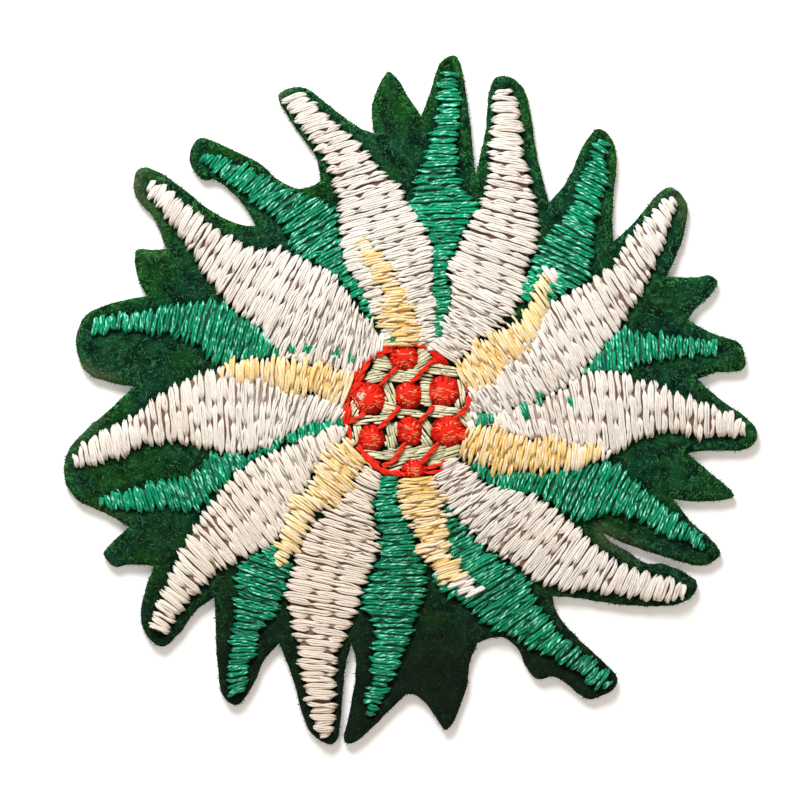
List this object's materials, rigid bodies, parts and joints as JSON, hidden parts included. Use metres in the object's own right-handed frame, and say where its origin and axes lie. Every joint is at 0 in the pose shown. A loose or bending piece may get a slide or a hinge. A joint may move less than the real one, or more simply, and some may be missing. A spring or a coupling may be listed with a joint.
{
  "type": "embroidered flower patch",
  "caption": "flat felt applique cut to a flower's outline, with petals, leaves and a dotted middle in satin thread, to sew or glue on cloth",
  "frame": {"origin": "under the flower's middle, on the flat back of the felt", "axes": "+Z points out of the stitched front. +X points to the right and +Y up, seen from the front, with the flower as in the picture"},
  "size_m": [0.0693, 0.0688, 0.0028],
  "materials": {
    "felt": "matte",
    "white_thread": "satin",
    "green_thread": "satin",
    "yellow_thread": "satin",
    "sage_thread": "satin",
    "red_thread": "satin"
  },
  "bodies": {
    "root": {"felt_base": "felt", "white_petal_1": "white_thread", "white_petal_2": "white_thread", "white_petal_3": "white_thread", "white_petal_4": "white_thread", "white_petal_5": "white_thread", "white_petal_6": "white_thread", "white_petal_7": "white_thread", "white_petal_8": "white_thread", "white_petal_9": "white_thread", "green_leaf_1": "green_thread", "green_leaf_2": "green_thread", "green_leaf_3": "green_thread", "green_leaf_4": "green_thread", "green_leaf_5": "green_thread", "green_leaf_6": "green_thread", "green_leaf_7": "green_thread", "green_leaf_8": "green_thread", "green_leaf_9": "green_thread", "green_leaf_10": "green_thread", "yellow_petal_1": "yellow_thread", "yellow_petal_2": "yellow_thread", "yellow_petal_3": "yellow_thread", "yellow_petal_4": "yellow_thread", "yellow_petal_5": "yellow_thread", "yellow_petal_6": "yellow_thread", "centre_lattice": "sage_thread", "centre_red_thread": "red_thread"}
  },
  "joints": []
}
